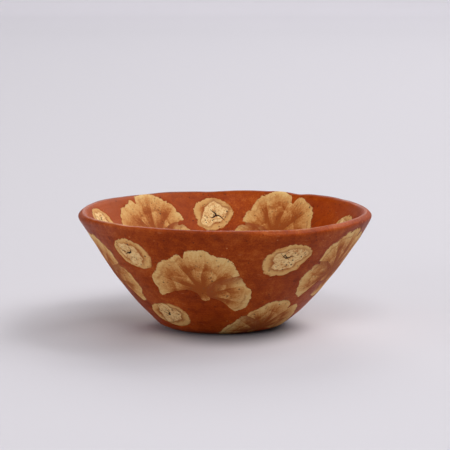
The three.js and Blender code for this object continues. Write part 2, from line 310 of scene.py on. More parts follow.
# ---------------------------------------------------------------- cracks and pinholes of the clays, on the wall's plan
class Pits:
    """Cracks are lines with a half width at each point, and pinholes are spots. side: 1 outside, -1 inside."""

    def __init__(self):
        self.lines, self.spots = [], []

    def depth(self, plan, side):
        """0 at an edge and beyond, 1 at the bottom."""
        out = np.zeros(len(plan))
        for where, p, w in self.lines:
            if where != side:
                continue
            lo, hi = p.min(0) - 0.6, p.max(0) + 0.6
            near = np.flatnonzero(((plan > lo) & (plan < hi)).all(1))
            if not len(near):
                continue
            q = plan[near]
            for a, b, wa, wb in zip(p[:-1], p[1:], w[:-1], w[1:]):
                d = b - a
                k = np.clip(((q - a) @ d) / max(d @ d, 1e-9), 0, 1)
                gap = np.hypot(*(q - a - k[:, None] * d).T)
                out[near] = np.maximum(out[near], 1 - gap / (wa + (wb - wa) * k))
        for where, c, r in self.spots:
            if where != side:
                continue
            near = np.flatnonzero((np.abs(plan - c) < r).all(1))
            gap = np.hypot(*(plan[near] - c).T)
            out[near] = np.maximum(out[near], 1 - gap / r)
        return np.clip(out, 0, 1)


pits = Pits()
rng = np.random.default_rng(41)


def laid(shape, at, own):
    """A shape's own points, on the plan."""
    return to_plan(*to_wall(turned(own, *shape["turn"]), at))


def crack(start, heading, length, width, bend):
    """A wandering line from start, in a shape's own drawing."""
    p, w, q, h = [start], [width], np.array(start, float), heading
    steps = max(3, int(length / 0.32))
    for i in range(steps):
        h += rng.normal(0, bend)
        q = q + 0.32 * np.array([math.cos(h), math.sin(h)])
        p.append(q.copy())
        w.append(width * (1 - 0.75 * (i + 1) / steps) * rng.uniform(0.75, 1.2))
    return np.array(p), np.array(w), h


for sl in slices:
    shape = sl["shapes"][0]
    for side in (1, -1):
        if sl["kind"] == "pebble":
            a, b = shape["r"]
            core = np.array([0.06 * a * math.sin(3 * shape["seed"]), 0.06 * b * math.cos(2 * shape["seed"])])
            shape["core"] = core
            h0 = rng.uniform(0, 2 * math.pi)
            start = core + rng.normal(0, 0.35, 2)
            arms = rng.integers(2, 4)
            for k in range(arms):
                p, w, h = crack(start, h0 + k * 2 * math.pi / arms + rng.normal(0, 0.35), rng.uniform(1.9, 3.6), rng.uniform(0.24, 0.38), 0.42)
                pits.lines.append((side, laid(shape, sl["at"], p), w))
                if rng.random() < 0.55:
                    m = len(p) // 2
                    p2, w2, _ = crack(p[m], h + rng.choice([-1, 1]) * rng.uniform(0.8, 1.3), rng.uniform(0.6, 1.2), w[m] * 0.8, 0.3)
                    pits.lines.append((side, laid(shape, sl["at"], p2), w2))
            for k in range(rng.integers(14, 22)):
                d, t = math.sqrt(rng.random()) * 0.68, rng.uniform(0, 2 * math.pi)
                c = core + np.array([a * d * math.cos(t), b * d * math.sin(t)])
                pits.spots.append((side, laid(shape, sl["at"], c[None])[0], rng.choice([0.13, 0.17, 0.22, 0.31]) * rng.uniform(0.9, 1.15)))
            for k in range(rng.integers(3, 7)):
                d, t = rng.uniform(0.68, 0.88), rng.uniform(0, 2 * math.pi)
                c = np.array([a * d * math.cos(t), b * d * math.sin(t)])
                pits.spots.append((side, laid(shape, sl["at"], c[None])[0], rng.uniform(0.12, 0.19)))
        else:
            for shape in sl["shapes"]:
                for k in range(rng.integers(7, 13)):
                    r, t = shape["size"] * rng.uniform(0.35, 0.92), rng.uniform(-1.25, 1.25)
                    c = np.array([r * math.sin(t), r * math.cos(t)])
                    pits.spots.append((side, laid(shape, sl["at"], c[None])[0], rng.uniform(0.12, 0.22)))
            shape = sl["shapes"][0]
for k in range(46):  # and a few in the red clay
    ang, s = rng.uniform(-math.pi, math.pi), rng.uniform(2, 36)
    pits.spots.append((1 if k % 2 else -1, to_plan(np.array([ang]), np.array([s]))[0], rng.uniform(0.12, 0.21)))

# ---------------------------------------------------------------- one triangulation for every piece
plan, plan_edges, plan_faces, face_of = [], [], [], []


def add_points(p):
    start = len(plan)
    plan.extend(map(tuple, p))
    return list(range(start, start + len(p)))


def counter_clockwise(p):
    x, y = p[:, 0], p[:, 1]
    return p if np.sum(x * np.roll(y, -1) - np.roll(x, -1) * y) > 0 else p[::-1]


outline_points = []
for n, sl in enumerate(slices):
    for k, shape in enumerate(sl["shapes"]):
        line = counter_clockwise(laid(shape, sl["at"], shape["own"]))
        shape["line"] = line
        plan_faces.append(add_points(line))
        face_of.append((n, k))
        outline_points.append(line)
outline_points = np.vstack(outline_points)
crest_count = 640
a = 2 * math.pi * np.arange(crest_count) / crest_count
crest_face = len(plan_faces)
plan_faces.append(add_points((HUB + T_END) * np.stack([np.cos(a), np.sin(a)], -1)))

outline_tree = KDTree(len(outline_points))
for i, p in enumerate(outline_points):
    outline_tree.insert((p[0], p[1], 0), i)
outline_tree.balance()


def from_outline(p):
    return outline_tree.find((p[0], p[1], 0))[2]


# rows just beside each outline, so that the seam's groove is narrow
SEAM = 0.15
fine = []
for sl in slices:
    for shape in sl["shapes"]:
        n = line_normals(shape["line"])
        for side in (SEAM, -SEAM):
            fine.append((shape["line"] + n * side)[:: 1])
fine = [p for p in np.vstack(fine) if from_outline(p) > SEAM * 0.86 and np.hypot(*p) < HUB + T_END - 0.1]

# cracks and pinholes, each with its rim and its bottom
def clear_of_outlines(p, margin):
    return min(from_outline(q) for q in p) > margin and np.hypot(*p.T).max() < HUB + WALL_LENGTH - 0.5


pits.lines = [l for l in pits.lines if clear_of_outlines(l[1], 0.35)]
pits.spots = [s for s in pits.spots if clear_of_outlines(s[1][None], s[2] + 0.22)]
for side, p, w in pits.lines:
    d = np.gradient(p, axis=0)
    n = np.stack([-d[:, 1], d[:, 0]], -1) / np.maximum(np.linalg.norm(d, axis=1, keepdims=True), 1e-9)
    ids = add_points(p)
    left, right = add_points(p + n * w[:, None]), add_points(p - n * w[:, None])
    for chain in (ids, left, right):
        plan_edges += list(zip(chain[:-1], chain[1:]))
    tip = add_points([p[-1] + (p[-1] - p[-2]) * 0.4])
    plan_edges += [(left[-1], tip[0]), (right[-1], tip[0])]
for side, c, r in pits.spots:
    add_points([c])
    k = 7
    t = 2 * math.pi * np.arange(k) / k + c[0]
    ids = add_points(c + r * np.stack([np.cos(t), np.sin(t)], -1))
    plan_edges += [(ids[i], ids[(i + 1) % k]) for i in range(k)]
    add_points(c + 0.45 * r * np.stack([np.cos(t + 0.4), np.sin(t + 0.4)], -1))
add_points(fine)

pit_tree = KDTree(len(plan))
for i, p in enumerate(plan):
    pit_tree.insert((p[0], p[1], 0), i)
pit_tree.balance()

# rings of points everywhere else
STEP = 0.5
rows = []
for t in list(np.linspace(0, WALL_LENGTH - 0.6, int(WALL_LENGTH / (STEP * 0.92)))) + [WALL_LENGTH - 0.3, WALL_LENGTH] + list(WALL_LENGTH + LIP_PLAN * np.array([0.12, 0.22, 0.30, 0.37, 0.44, 0.52, 0.62, 0.72, 0.82, 0.91])):
    rows.append((t, 2 * math.pi * float(outside(np.array(max(float(s_of_t(t)), 0.0)))[0])))
for t in -np.arange(0.7, HUB - 0.5, 0.75):
    rows.append((t, 2 * math.pi * 14.9 * (HUB + t) / HUB))
spread = []
for j, (t, around) in enumerate(rows):
    count = max(6, int(around / (STEP if t > -0.5 else 0.8)))
    a = 2 * math.pi * (np.arange(count) + 0.5 * (j % 2) + 0.13 * j) / count
    spread.append((HUB + t) * np.stack([np.cos(a), np.sin(a)], -1))
spread = np.vstack(spread + [np.zeros((1, 2))])
keep = [p for p in spread if pit_tree.find((p[0], p[1], 0))[2] > 0.27]
add_points(keep)

out = delaunay_2d_cdt([Vector(p) for p in plan], plan_edges, plan_faces, 0, 1e-5, True)
P2 = np.array([tuple(v) for v in out[0]])
tri_label = []
tris = []
for f, origins in zip(out[2], out[5]):
    if crest_face not in origins:
        continue
    found = [face_of[o] for o in origins if o != crest_face]
    tris.append(f)
    tri_label.append(min(found) if found else (-1, 0))  # the first leaf lies over the others
tris = np.array(tris)
tri_label = np.array(tri_label)
u, v = P2[tris[:, 1]] - P2[tris[:, 0]], P2[tris[:, 2]] - P2[tris[:, 0]]
area = u[:, 0] * v[:, 1] - u[:, 1] * v[:, 0]
tris[area < 0] = tris[area < 0][:, ::-1]

rho = np.hypot(*P2.T)
ang = np.arctan2(P2[:, 1], P2[:, 0])
t_at = rho - HUB
on_crest = t_at > T_END - 2.5e-3
t_at[on_crest] = T_END
s_at = s_of_t(t_at)

# ---------------------------------------------------------------- from the plan to the cup
undulate, facet, small = Lattice(11), Lattice(12), Lattice(13)
lip_curves = {
    key: (smooth([(k[0], k[1]) for k in line]), smooth([(k[0], k[2]) for k in line]))
    for key, line in (("facet", LIP_OUTSIDE), ("plain", LIP_PLAIN), ("inside", LIP_INSIDE))
}


def plain_at(deg):
    """Where the lip is plain: 1 at the left of the front, 0 at the right and at the back."""
    k = np.clip((53 - np.abs((deg + 118 + 180) % 360 - 180)) / 24, 0, 1) + 0.3 * bump_at(deg, -28, 7)
    k = np.clip(k, 0, 1)
    return k * k * (3 - 2 * k)


def lip_at(side, over, deg):
    """Radius and height of the lip's round."""
    if side < 0:
        return np.stack([f(over) for f in lip_curves["inside"]], -1)
    a, b = (np.stack([f(over) for f in lip_curves[key]], -1) for key in ("facet", "plain"))
    return a + (b - a) * plain_at(deg)[:, None]


def seat(side):
    """Places (mm) and outward directions of every point of the plan, outside (1) or inside (-1)."""
    s = np.maximum(s_at, 0)
    c = np.minimum(s, WALL_LENGTH)
    o_r, o_z = outside(c)
    i_r, i_z = inner_r(c), inner_z(c)
    h = np.stack([(o_r - i_r) / 2, (o_z - i_z) / 2], -1)
    rz = np.stack([(o_r + i_r) / 2, (o_z + i_z) / 2], -1) + side * h
    if side > 0:
        k = np.clip((o_z - 17) / (WALL[-1][0] - 17), 0, 1)
        rz[:, 0] -= PLAIN_IN * plain_at(np.degrees(ang)) * k**1.6
        # just above the floor the wall swells a little, so that the foot's edge turns under
        rz[:, 1] -= 0.30 * (o_z / 0.95) * np.exp(1 - o_z / 0.95)
    n = side * h / np.linalg.norm(h, axis=1)[:, None]
    over = np.clip((s - c) / LIP_ROUND, 0, 1)
    past = over > 0
    deg = np.degrees(ang[past])
    rz[past] = lip_at(side, over[past], deg)
    d = lip_at(side, np.clip(over[past] + 0.04, 0, 1), deg) - lip_at(side, np.clip(over[past] - 0.04, 0, 1), deg)
    n[past] = np.stack([-d[:, 1], d[:, 0]], -1) * -side
    low = t_at < 0
    q = np.clip((HUB + t_at) / HUB, 0, 1)
    if side > 0:
        base = np.stack([FOOT_RADIUS * q, np.zeros(len(q))], -1)
    else:
        base = np.stack([13.3 * q, FLOOR_THICKNESS + (3.55 - FLOOR_THICKNESS) * q**5], -1)
    rz[low] = base[low]
    n[low] = (0, -side)
    n = n / np.linalg.norm(n, axis=1, keepdims=True)
    P = place(ang, rz[:, 0], rz[:, 1])
    N = np.stack([n[:, 0] * np.cos(ang), n[:, 0] * np.sin(ang), n[:, 1]], -1)
    return P, N


wall_share = np.clip((HUB + t_at) / HUB, 0, 1)


def ring_place(side):
    """A place in which the cup is a plain cylinder, for marks that run round it."""
    return np.stack([30 * wall_share * np.cos(ang), 30 * wall_share * np.sin(ang), side * (END - s_at)], -1)


# an edge between two pieces, or between two leaves of one slice, is a fine seam
label_id = tri_label[:, 0] * 10 + tri_label[:, 1]
lo_piece = np.full(len(P2), 10**6)
hi_piece = np.full(len(P2), -(10**6))
lo_leaf, hi_leaf = lo_piece.copy(), hi_piece.copy()
for c in range(3):
    np.minimum.at(lo_piece, tris[:, c], tri_label[:, 0])
    np.maximum.at(hi_piece, tris[:, c], tri_label[:, 0])
    np.minimum.at(lo_leaf, tris[:, c], label_id)
    np.maximum.at(hi_leaf, tris[:, c], label_id)
seam = np.where(hi_piece > lo_piece, 1.0, np.where(hi_leaf > lo_leaf, 0.6, 0.0))

PIT_DEPTH = 0.42
made = {}
for side in (1, -1):
    P, N = seat(side)
    ring = ring_place(side)
    u = 0.085 * undulate(P / 9.0) + 0.06 * facet(ring / np.array([15, 15, 4.2])) + 0.022 * small(P / 3.0)
    near_lip = np.clip((s_at - 27) / 9, 0, 1)
    near_foot = np.clip(1 - s_at / 3.0, 0, 1) if side > 0 else np.zeros(len(s_at))
    limit = np.maximum(near_lip, near_foot)
    shift = u * (1 - limit) + (np.minimum(u, 0.06) - 0.06) * limit
    if side > 0:
        shift = np.where(t_at < 0, -0.05 * np.abs(undulate(P / 6.0 + 3)) - 0.12 * (1 - wall_share) ** 0.5 * (1 - wall_share), shift)
    pit = pits.depth(P2, side)
    pit[on_crest] = 0
    deep = np.where(pit > 0, PIT_DEPTH * np.minimum(pit * 1.25, 1) ** 0.8 * 0.9, 0)
    shift = shift - 0.045 * seam - deep
    made[side] = {"P": P + N * shift[:, None], "pit": pit, "ring": ring}
made[-1]["P"][on_crest] = made[1]["P"][on_crest]


# ---------------------------------------------------------------- a slice's own coordinates, for its colours
def leaf_marks(sl, k, pts):
    """Per point: own x and y, the share of the way from stalk to margin, the angle, and the distance from a leaf that lies over it."""
    shape = sl["shapes"][k]
    flat = from_wall(ang[pts], s_at[pts], sl["at"])
    own = turned_back(flat, *shape["turn"])
    r, a = np.hypot(*own.T), np.arctan2(own[:, 0], own[:, 1])
    line = shape["own"]
    la, lr = np.arctan2(line[:, 0], line[:, 1]), np.hypot(*line.T)
    edge = np.linspace(-math.radians(82), math.radians(82), 240)
    reach = np.array([lr[np.abs(la - e) < 0.03].max(initial=0.0) for e in edge])
    reach = np.where(reach > 0.55 * shape["size"], reach, 0.95 * shape["size"])
    share = r / np.interp(a, edge, reach)
    gap = np.full(len(pts), 9.0)
    for j in range(k):
        other = sl["shapes"][j]
        q = turned(other["own"], *other["turn"])
        for b in range(0, len(flat), 2000):
            d = np.sqrt(((flat[b : b + 2000, None] - q[None]) ** 2).sum(-1)).min(1)
            gap[b : b + 2000] = np.minimum(gap[b : b + 2000], d)
    return own, share, a, gap


def pebble_marks(sl, pts):
    shape = sl["shapes"][0]
    own = turned_back(from_wall(ang[pts], s_at[pts], sl["at"]), *shape["turn"])
    r, a = np.hypot(*own.T), np.arctan2(own[:, 1], own[:, 0])
    line = shape["own"]
    la, lr = np.arctan2(line[:, 1], line[:, 0]), np.hypot(*line.T)
    order = np.argsort(la)
    share = r / np.interp(a, la[order], lr[order], period=2 * math.pi)
    rel = own - shape["core"]
    rc, ac = np.hypot(*rel.T), np.arctan2(rel[:, 1] / shape["r"][1], rel[:, 0] / shape["r"][0])
    s = shape["seed"]
    lobes = 1 + 0.12 * np.sin(2 * ac + 1.7 * s) + 0.12 * np.sin(3 * ac + 2.9 * s) + 0.07 * np.sin(5 * ac + 4.3 * s) + 0.05 * np.sin(9 * ac + s)
    radius = np.sqrt((shape["r"][0] * np.cos(ac)) ** 2 + (shape["r"][1] * np.sin(ac)) ** 2) * 0.64 * lobes
    return own, share, a, rc / radius


# ---------------------------------------------------------------- meshes
def mesh_piece(name, which, material, marks):
    """One closed solid: its outside, its inside and the walls between them along its outline."""
    t = tris[which]
    used, inv = np.unique(t, return_inverse=True)
    t = inv.reshape(t.shape)
    n = len(used)
    crest = on_crest[used]
    inner_id = np.full(n, -1)
    inner_id[~crest] = n + np.arange((~crest).sum())
    inner_id[crest] = np.flatnonzero(crest)
    outer_v = made[1]["P"][used]
    inner_v = made[-1]["P"][used[~crest]]
    co = np.vstack([outer_v, inner_v]) * MM
    e = np.vstack([t[:, [0, 1]], t[:, [1, 2]], t[:, [2, 0]]])
    key = np.minimum(e[:, 0], e[:, 1]).astype(np.int64) * n + np.maximum(e[:, 0], e[:, 1])
    _, first, counts = np.unique(key, return_index=True, return_counts=True)
    rim = e[first[counts == 1]]
    rim = rim[~(crest[rim[:, 0]] & crest[rim[:, 1]])]
    a, b = rim[:, 0], rim[:, 1]
    ia, ib = inner_id[a], inner_id[b]
    walls, wall_plan = [], []
    ok = ia != a
    walls.append(np.stack([ia, a, b], -1)[ok])
    wall_plan.append(np.stack([a, a, b], -1)[ok])
    ok = ib != b
    walls.append(np.stack([ia, b, ib], -1)[ok])
    wall_plan.append(np.stack([a, b, b], -1)[ok])
    faces = np.vstack([t[:, ::-1], inner_id[t], *walls])
    flat = np.vstack([t[:, ::-1], t, *wall_plan])  # the plan's point of each corner
    mesh = bpy.data.meshes.new(name)
    mesh.vertices.add(len(co))
    mesh.vertices.foreach_set("co", co.astype(np.float32).ravel())
    mesh.loops.add(faces.size)
    mesh.loops.foreach_set("vertex_index", faces.astype(np.int32).ravel())
    mesh.polygons.add(len(faces))
    mesh.polygons.foreach_set("loop_start", np.arange(0, faces.size, 3, dtype=np.int32))
    mesh.update(calc_edges=True)
    mesh.validate()
    mesh.polygons.foreach_set("use_smooth", np.ones(len(mesh.polygons), bool))
    ev = np.zeros(len(mesh.edges) * 2, np.int32)
    mesh.edges.foreach_get("vertices", ev)
    ev = ev.reshape(-1, 2)
    big = len(co)
    def keys(x, y):
        return np.minimum(x, y).astype(np.int64) * big + np.maximum(x, y)
    sharp = np.isin(keys(ev[:, 0], ev[:, 1]), np.concatenate([keys(a, b), keys(ia, ib)]))
    mesh.attributes.new("sharp_edge", "BOOLEAN", "EDGE").data.foreach_set("value", sharp)

    def point_value(label, kind, outer, inner):
        values = np.concatenate([outer[used], inner[used[~crest]]]).astype(np.float32)
        at = mesh.attributes.new(label, kind, "POINT")
        at.data.foreach_set("value" if kind == "FLOAT" else "vector", values.ravel())

    point_value("pit", "FLOAT", made[1]["pit"], made[-1]["pit"])
    point_value("round_about", "FLOAT_VECTOR", made[1]["ring"], made[-1]["ring"])
    # how worn: the lip's crest, in some places more than in others, and the foot where it stands
    deg = np.degrees(ang)
    more = 0.8 * bump_at(deg, -141, 16) + bump_at(deg, -62, 13) + 0.55 * bump_at(deg, -18, 24) + 0.5 * bump_at(deg, 105, 22)
    lip = np.exp(-np.maximum(END - s_at, 0) / 0.9) * (0.56 + 0.44 * np.clip(more, 0, 1))
    foot = np.exp(-(((s_at - 0.0) / 1.1) ** 2))
    point_value("wear", "FLOAT", np.maximum(lip, 0.8 * foot), lip)
    if marks is not None:
        n_top = len(t)
        owner = np.concatenate([which, which, np.zeros(len(faces) - 2 * n_top, int) - 1])
        xy = np.zeros((len(faces), 3, 3), np.float32)
        fan = np.zeros((len(faces), 3, 3), np.float32)
        for label in np.unique(label_id[which]):
            f = np.flatnonzero((owner >= 0) & (label_id[np.maximum(owner, 0)] == label))
            values = marks(int(label) % 10, used[flat[f]].ravel())
            own, share, angle, third, seed = values
            xy[f] = np.column_stack([own, np.full(len(own), seed)]).reshape(-1, 3, 3)
            fan[f] = np.column_stack([share, angle, third]).reshape(-1, 3, 3)
        w = np.flatnonzero(owner < 0)
        if len(w):
            label = int(label_id[which[0]]) % 10
            own, share, angle, third, seed = marks(label, used[flat[w]].ravel())
            xy[w] = np.column_stack([own, np.full(len(own), seed)]).reshape(-1, 3, 3)
            fan[w] = np.column_stack([share, angle, third]).reshape(-1, 3, 3)
        mesh.attributes.new("own_xy", "FLOAT_VECTOR", "CORNER").data.foreach_set("vector", xy.ravel())
        mesh.attributes.new("own_fan", "FLOAT_VECTOR", "CORNER").data.foreach_set("vector", fan.ravel())
    mesh.materials.append(material)
    obj = bpy.data.objects.new(name, mesh)
    bpy.context.scene.collection.objects.link(obj)
    return obj


# ---------------------------------------------------------------- materials
class Graph:
    def __init__(self, name):
        self.mat = bpy.data.materials.new(name)
        self.mat.use_nodes = True
        self.tree = self.mat.node_tree
        self.tree.nodes.clear()
        self.out = self.add("ShaderNodeOutputMaterial")
        self.bsdf = self.add("ShaderNodeBsdfPrincipled")
        self.tree.links.new(self.bsdf.outputs[0], self.out.inputs["Surface"])

    def add(self, kind, **props):
        node = self.tree.nodes.new(kind)
        for k, v in props.items():
            setattr(node, k, v)
        return node

    def put(self, socket, value):
        if isinstance(value, bpy.types.NodeSocket):
            self.tree.links.new(value, socket)
        else:
            socket.default_value = value

    def math(self, op, a, b=0.0, clamp=False):
        n = self.add("ShaderNodeMath", operation=op, use_clamp=clamp)
        self.put(n.inputs[0], a)
        self.put(n.inputs[1], b)
        return n.outputs[0]

    def madd(self, a, b, c, clamp=False):
        n = self.add("ShaderNodeMath", operation="MULTIPLY_ADD", use_clamp=clamp)
        for i, x in enumerate((a, b, c)):
            self.put(n.inputs[i], x)
        return n.outputs[0]

    def vector(self, op, a, b):
        n = self.add("ShaderNodeVectorMath", operation=op)
        self.put(n.inputs[0], a)
        self.put(n.inputs[1], b)
        return n.outputs[0]

    def attribute(self, name):
        return self.add("ShaderNodeAttribute", attribute_name=name)

    def split(self, vector):
        n = self.add("ShaderNodeSeparateXYZ")
        self.put(n.inputs[0], vector)
        return n.outputs

    def join(self, x, y, z):
        n = self.add("ShaderNodeCombineXYZ")
        for i, q in enumerate((x, y, z)):
            self.put(n.inputs[i], q)
        return n.outputs[0]

    def place(self):
        return self.add("ShaderNodeTexCoord").outputs["Object"]

    def noise(self, vector, scale, detail=2.0, rough=0.5, distortion=0.0):
        n = self.add("ShaderNodeTexNoise")
        self.put(n.inputs["Vector"], vector)
        n.inputs["Scale"].default_value = scale
        n.inputs["Detail"].default_value = detail
        n.inputs["Roughness"].default_value = rough
        n.inputs["Distortion"].default_value = distortion
        return n.outputs["Fac"]

    def cells(self, vector, scale, feature="F1", randomness=1.0):
        n = self.add("ShaderNodeTexVoronoi", feature=feature)
        self.put(n.inputs["Vector"], vector)
        n.inputs["Scale"].default_value = scale
        n.inputs["Randomness"].default_value = randomness
        return n

    def ramp(self, value, stops, kind="LINEAR"):
        n = self.add("ShaderNodeValToRGB")
        n.color_ramp.interpolation = kind
        e = n.color_ramp.elements
        while len(e) < len(stops):
            e.new(0.5)
        for x, (at, colour) in zip(e, stops):
            x.position = at
            x.color = (*colour, 1) if len(colour) == 3 else colour
        self.put(n.inputs[0], value)
        return n.outputs[0]

    def between(self, value, lo, hi, to_lo=0.0, to_hi=1.0, smooth=True):
        n = self.add("ShaderNodeMapRange", interpolation_type="SMOOTHSTEP" if smooth else "LINEAR", clamp=True)
        self.put(n.inputs["Value"], value)
        for k, x in (("From Min", lo), ("From Max", hi), ("To Min", to_lo), ("To Max", to_hi)):
            n.inputs[k].default_value = x
        return n.outputs[0]

    def mix(self, share, a, b, blend="MIX"):
        n = self.add("ShaderNodeMix", data_type="RGBA", blend_type=blend)
        self.put(n.inputs[0], share)
        for socket, x in ((n.inputs[6], a), (n.inputs[7], b)):
            self.put(socket, (*x, 1) if isinstance(x, tuple) and len(x) == 3 else x)
        return n.outputs[2]

    def relief(self, height, distance, strength=1.0):
        n = self.add("ShaderNodeBump")
        n.inputs["Strength"].default_value = strength
        n.inputs["Distance"].default_value = distance
        self.put(n.inputs["Height"], height)
        self.put(self.bsdf.inputs["Normal"], n.outputs[0])
        return n


RED_DARK, RED, RED_ORANGE, RED_PINK = (0.173, 0.0206, 0.002), (0.241, 0.0340, 0.003), (0.300, 0.0480, 0.004), (0.30, 0.068, 0.019)
RUST, TERRACOTTA, TAN, CREAM, PALE = (0.295, 0.069, 0.011), (0.415, 0.140, 0.031), (0.53, 0.243, 0.072), (0.62, 0.352, 0.120), (0.66, 0.44, 0.175)
# the last is the painted shade in pits and cracks
PIT_PAINTED_SHADE = (0.030, 0.012, 0.007)


def clay_relief(g, extra=None):
    """Fine grain, and the soft marks of the tool that rubbed the clay."""
    p, about = g.place(), g.attribute("round_about").outputs["Vector"]
    grain = g.noise(p, 2600, 3, 0.6)
    lumps = g.noise(p, 560, 2, 0.5)
    strokes = g.noise(g.vector("MULTIPLY", about, (0.07, 0.07, 1.15)), 1.0, 3, 0.55)
    h = g.madd(grain, 0.40, g.madd(lumps, 0.42, g.math("MULTIPLY", strokes, 0.7)))
    if extra is not None:
        h = g.math("ADD", h, extra)
    g.relief(h, 0.00009, 0.6)
    return grain, lumps, strokes


def specks(g, p, scale, size, pick_scale, pick_from, pick_to):
    """Grains of another clay: 1 on them, 0 beside them."""
    dots = g.between(g.cells(p, scale).outputs["Distance"], size * 0.6, size, 1.0, 0.0)
    return g.math("MULTIPLY", dots, g.between(g.noise(p, pick_scale, 1, 0.5), pick_from, pick_to))


def red_clay():
    g = Graph("red_clay")
    grain, lumps, strokes = clay_relief(g)
    p = g.place()
    broad = g.noise(p, 62, 3, 0.55, 0.4)
    middle = g.noise(p, 240, 4, 0.62, 0.5)
    k = g.madd(broad, 0.95, g.madd(strokes, 0.40, g.madd(middle, 1.00, g.madd(lumps, 0.70, g.math("MULTIPLY", grain, 1.30)))))
    k = g.between(k, 1.780, 2.580, smooth=False)
    colour = g.ramp(k, [(0.0, RED_DARK), (0.40, RED), (0.72, RED_ORANGE), (1.0, (0.37, 0.080, 0.012))])
    about = g.attribute("round_about").outputs["Vector"]
    # painted light: the inside wall is made lighter than the outside, for the light it catches
    inward = g.between(g.split(about)[2], -2.0, 1.5, 1.0, 0.0)
    colour = g.mix(inward, colour, g.mix(1.0, colour, (1.15, 1.17, 1.0), "MULTIPLY"))
    # inside, a painted sheen makes the left paler and pinker, and the right is painted a warmer red where no sheen
    # falls
    left, right = g.between(g.split(about)[0], -22.0, 0.0, 1.0, 0.0), g.between(g.split(about)[0], 10.0, 24.0)
    colour = g.mix(g.math("MULTIPLY", g.math("MULTIPLY", left, inward), 0.50), colour, (0.391, 0.085, 0.019))
    colour = g.mix(g.math("MULTIPLY", g.math("MULTIPLY", right, inward), 0.30), colour, (0.400, 0.056, 0.003))
    # painted light: the outside is made lighter low down, towards the foot
    low = g.between(g.split(about)[2], 20.0, 35.0)
    colour = g.mix(low, colour, g.mix(1.0, colour, (1.22, 1.16, 0.90), "MULTIPLY"))
    # pink bloom in patches is the clay's own tone; the extra of it inside is a painted sheen
    bloom_and_inner_sheen = g.between(g.noise(p, 95, 3, 0.6, 0.8), 0.52, 0.74)
    colour = g.mix(g.math("MULTIPLY", bloom_and_inner_sheen, g.math("ADD", g.math("MULTIPLY", inward, 0.22), 0.24)), colour, RED_PINK)
    smudge = g.between(g.noise(p, 205, 3, 0.6, 0.6), 0.60, 0.74)
    colour = g.mix(g.math("MULTIPLY", smudge, 0.40), colour, (0.125, 0.030, 0.012))
    # darker grains, pale grains and short pale scuffs that run round the cup
    colour = g.mix(g.math("MULTIPLY", specks(g, p, 640, 0.20, 330, 0.54, 0.60), 0.6), colour, (0.055, 0.012, 0.005))
    colour = g.mix(g.math("MULTIPLY", specks(g, p, 520, 0.15, 170, 0.55, 0.63), 0.5), colour, (0.52, 0.21, 0.080))
    scuff = g.between(g.cells(g.vector("MULTIPLY", about, (0.13, 0.13, 0.75)), 1.0).outputs["Distance"], 0.045, 0.085, 1.0, 0.0)
    colour = g.mix(g.math("MULTIPLY", scuff, 0.30), colour, (0.55, 0.24, 0.11))
    worn = g.math("MULTIPLY", g.attribute("wear").outputs["Fac"], g.between(g.noise(p, 420, 4, 0.65), 0.34, 0.70))
    colour = g.mix(g.math("MULTIPLY", worn, 0.16), colour, (0.36, 0.115, 0.040))
    line = g.math("MULTIPLY", g.between(g.attribute("wear").outputs["Fac"], 0.60, 0.96), g.between(g.noise(p, 160, 3, 0.6), 0.38, 0.54))
    colour = g.mix(g.math("MULTIPLY", line, 0.42), colour, (0.55, 0.270, 0.095))
    # painted shade: the crest is darker and browner at the back
    far = g.math("MULTIPLY", g.between(g.attribute("wear").outputs["Fac"], 0.26, 0.52), g.between(g.split(about)[1], 2.0, 14.0))
    colour = g.mix(g.math("MULTIPLY", far, 0.62), colour, (0.120, 0.030, 0.012))
    # painted shade: the pits and cracks go dark
    pit_shade = g.between(g.attribute("pit").outputs["Fac"], 0.08, 0.5)
    colour = g.mix(pit_shade, colour, PIT_PAINTED_SHADE)
    g.put(g.bsdf.inputs["Base Color"], colour)
    g.put(g.bsdf.inputs["Roughness"], g.between(g.madd(strokes, 0.5, g.math("MULTIPLY", middle, 0.5)), 0.3, 0.7, 0.50, 0.36))
    g.bsdf.inputs["Specular IOR Level"].default_value = 0.07
    return g.mat


def crumbs_on(g, p, tone, by_fine, by_coarse):
    """Crumbly clay: a tone with small light and dark lumps on it."""
    fine = g.noise(p, 1150, 3, 0.65)
    coarse = g.noise(p, 520, 3, 0.6, 0.6)
    return g.madd(g.math("SUBTRACT", fine, 0.5), by_fine, g.madd(g.math("SUBTRACT", coarse, 0.5), by_coarse, tone)), fine, coarse


